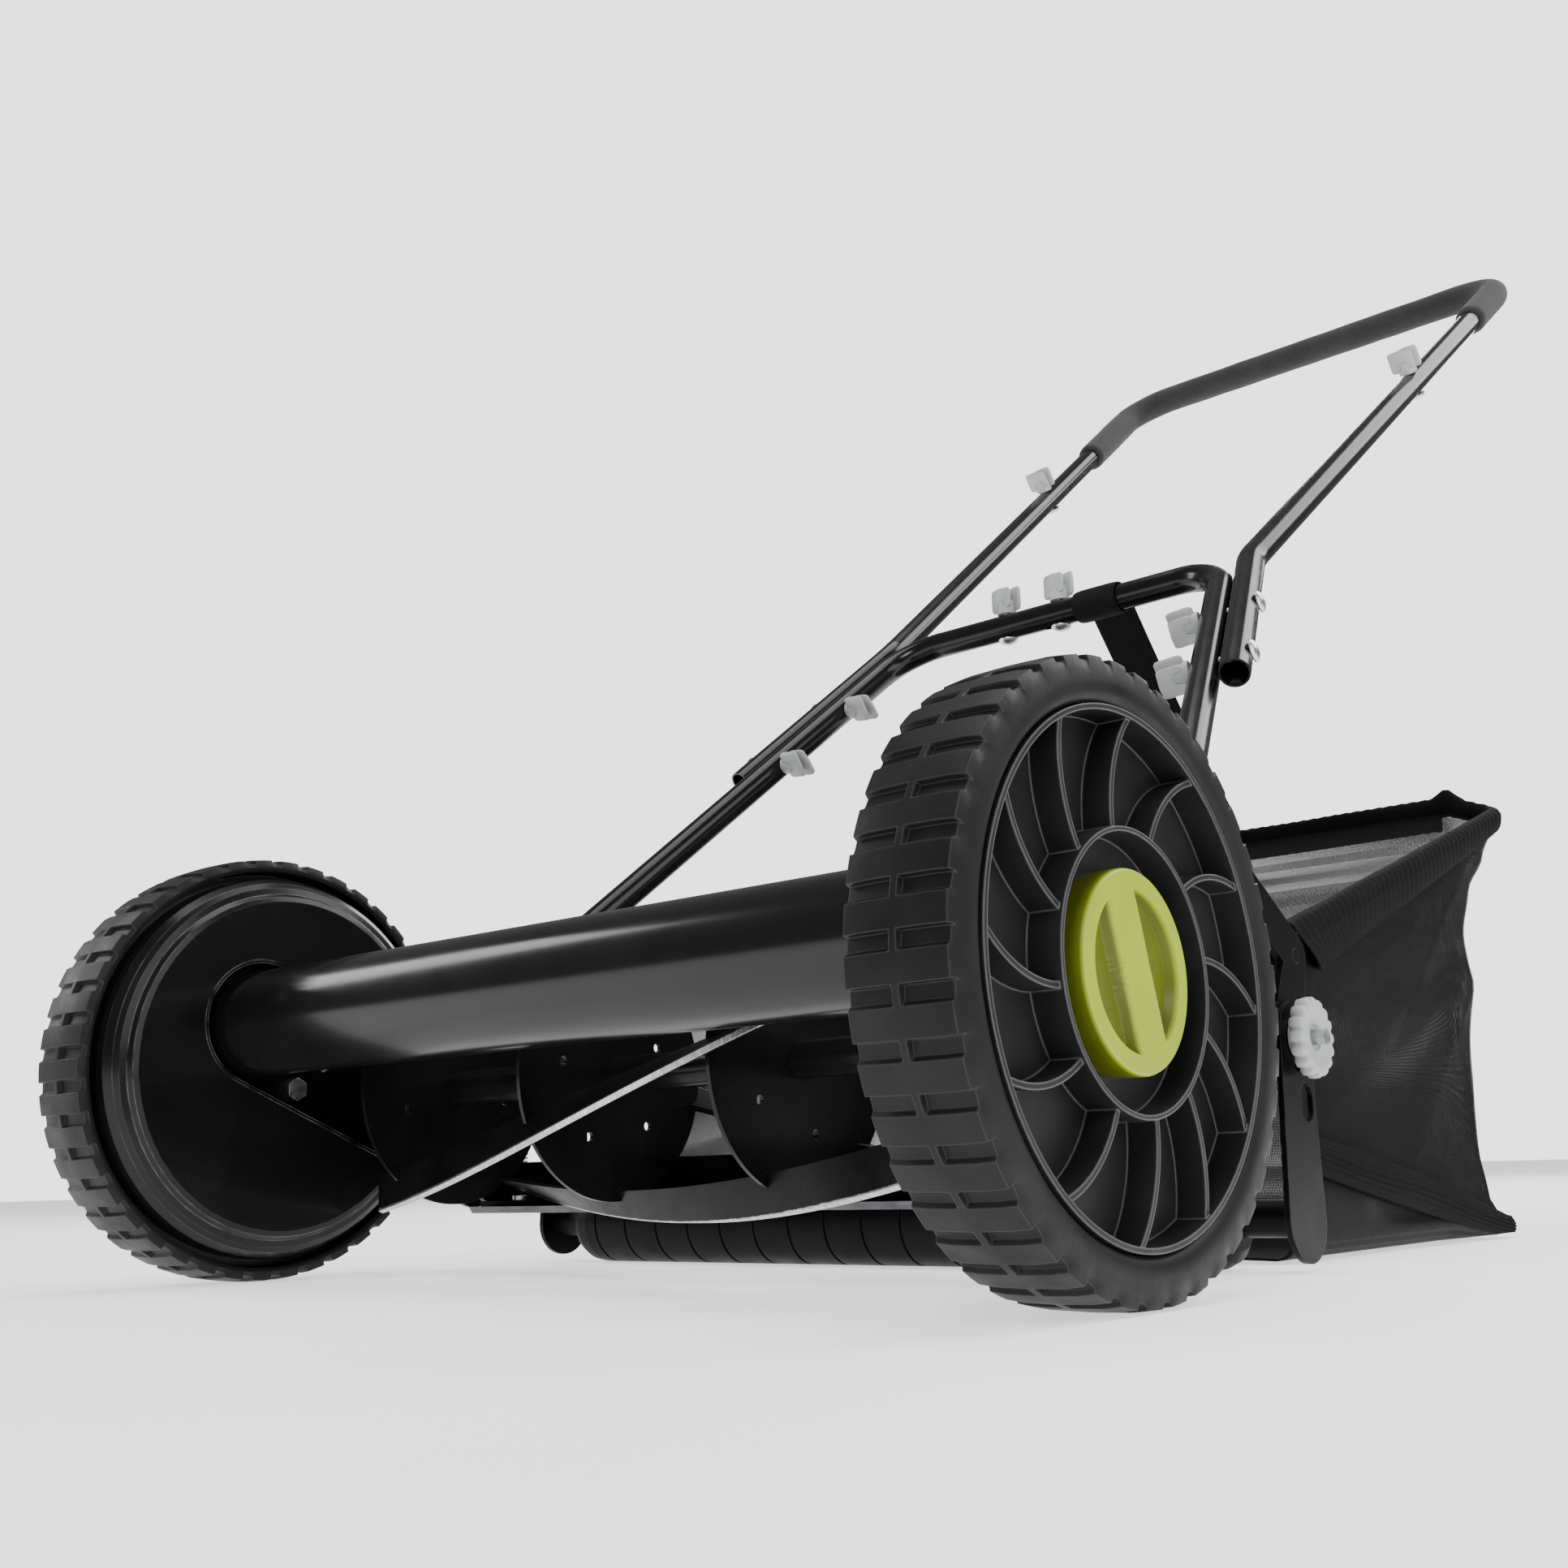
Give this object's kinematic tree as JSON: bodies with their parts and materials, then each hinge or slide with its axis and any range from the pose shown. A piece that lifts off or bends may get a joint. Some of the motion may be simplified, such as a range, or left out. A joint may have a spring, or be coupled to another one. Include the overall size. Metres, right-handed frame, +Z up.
{
  "type": "push reel mower",
  "caption": "Push reel mower with gear-driven helical blades between two wheels, a height-set rear roller, a jointed tube handle and a cloth grass bag behind.",
  "frame": {"origin": "centre of the bounding box in X and Y, on the floor plane under the tyres and the roller", "axes": "+Z up, -Y is the front (reel and front tube), +Y the back (grip and bag), +X the operator's left"},
  "size_m": [0.636, 1.1981, 0.9171],
  "materials": {
    "gloss_black_paint": "gloss",
    "satin_black_paint": "satin",
    "blade_steel": "satin",
    "shaft_steel": "satin",
    "zinc": "satin",
    "tyre_rubber": "matte",
    "rim_plastic": "satin",
    "gear_plastic": "satin",
    "lime_plastic": "gloss",
    "bush_brass": "satin",
    "grip_foam": "matte",
    "pale_plastic": "satin",
    "roller_plastic": "satin",
    "mesh_cloth": "matte",
    "hem_cloth": "matte",
    "floor_cloth": "matte",
    "webbing": "matte"
  },
  "bodies": {
    "chassis": {"axle_studs": "zinc", "axle_clips": "zinc", "wheel_cover_left": "satin_black_paint", "wheel_cover_right": "satin_black_paint", "cover_nuts": "zinc", "side_plate_left": "satin_black_paint", "side_plate_right": "satin_black_paint", "front_tube": "gloss_black_paint", "reel_bearings": "shaft_steel", "bed_knife": "blade_steel", "knife_bar": "satin_black_paint", "knife_screws": "zinc", "knife_pivots": "zinc", "adjuster_brackets": "satin_black_paint", "adjuster_screws": "zinc", "adjuster_springs": "zinc", "handle_pivots": "zinc", "handle_spacers": "zinc", "handle_stops": "satin_black_paint", "knob_studs": "zinc", "bag_pins": "satin_black_paint"},
    "wheel_left": {"tyre_left": "tyre_rubber", "rim_left": "rim_plastic", "ring_gear_left": "gear_plastic", "hub_cap_left": "lime_plastic", "hub_bush_left": "bush_brass"},
    "wheel_right": {"tyre_right": "tyre_rubber", "rim_right": "rim_plastic", "ring_gear_right": "gear_plastic", "hub_cap_right": "lime_plastic", "hub_bush_right": "bush_brass"},
    "reel": {"reel_shaft": "shaft_steel", "reel_spiders": "satin_black_paint", "reel_blades": "blade_steel", "pinion_left": "shaft_steel", "pinion_right": "shaft_steel", "pinion_pawls": "shaft_steel"},
    "roller_frame": {"roller_arm_left": "satin_black_paint", "roller_arm_right": "satin_black_paint", "roller_axle": "satin_black_paint", "roller_spacers": "roller_plastic"},
    "roller": {"roller": "roller_plastic"},
    "knob_left": {"star_knob_left": "pale_plastic"},
    "knob_right": {"star_knob_right": "pale_plastic"},
    "handle": {"lower_tube_left": "gloss_black_paint", "lower_tube_right": "gloss_black_paint", "mid_tube_left": "gloss_black_paint", "mid_tube_right": "gloss_black_paint", "upper_handle": "gloss_black_paint", "foam_grip": "grip_foam", "handle_bolts": "zinc", "wing_nuts": "pale_plastic"},
    "bag": {"bag_wire": "zinc", "bag_hem": "hem_cloth", "bag_side_left": "mesh_cloth", "bag_side_right": "mesh_cloth", "bag_back": "mesh_cloth", "bag_floor": "floor_cloth"},
    "strap": {"bag_strap": "webbing"}
  },
  "joints": [
    {"name": "wheel_left_spin", "type": "hinge", "parent": "chassis", "child": "wheel_left", "pos_m": [0, -0.472, 0.127], "axis": [1, 0, 0], "continuous": true},
    {"name": "wheel_right_spin", "type": "hinge", "parent": "chassis", "child": "wheel_right", "pos_m": [0, -0.472, 0.127], "axis": [1, 0, 0], "continuous": true},
    {"name": "reel_spin", "type": "hinge", "parent": "chassis", "child": "reel", "pos_m": [0, -0.38337, 0.11137], "axis": [1, 0, 0], "continuous": true},
    {"name": "roller_height", "type": "slide", "parent": "chassis", "child": "roller_frame", "axis": [0, 0, 1], "range_m": [0, 0.012]},
    {"name": "roller_spin", "type": "hinge", "parent": "roller_frame", "child": "roller", "pos_m": [0, -0.24, 0.026], "axis": [1, 0, 0], "continuous": true},
    {"name": "knob_left_turn", "type": "hinge", "parent": "chassis", "child": "knob_left", "pos_m": [0.28, -0.234, 0.114], "axis": [1, 0, 0], "continuous": true},
    {"name": "knob_right_turn", "type": "hinge", "parent": "chassis", "child": "knob_right", "pos_m": [-0.28, -0.234, 0.114], "axis": [1, 0, 0], "continuous": true},
    {"name": "handle_pitch", "type": "hinge", "parent": "chassis", "child": "handle", "pos_m": [0, -0.314, 0.174], "axis": [1, 0, 0], "range_deg": [0, 12]},
    {"name": "bag_lift", "type": "hinge", "parent": "chassis", "child": "bag", "pos_m": [0, -0.216, 0.158], "axis": [1, 0, 0], "range_deg": [0, 14]},
    {"name": "strap_swing", "type": "hinge", "parent": "handle", "child": "strap", "pos_m": [0, 0.02, 0.468], "axis": [1, 0, 0], "range_deg": [-4, 0]}
  ],
  "couplings": [
    {"joint": "wheel_right_spin", "follows": "wheel_left_spin", "ratio": 1},
    {"joint": "reel_spin", "follows": "wheel_left_spin", "ratio": 7.4286},
    {"joint": "bag_lift", "follows": "handle_pitch", "ratio": 1.087},
    {"joint": "strap_swing", "follows": "handle_pitch", "ratio": -0.26}
  ]
}
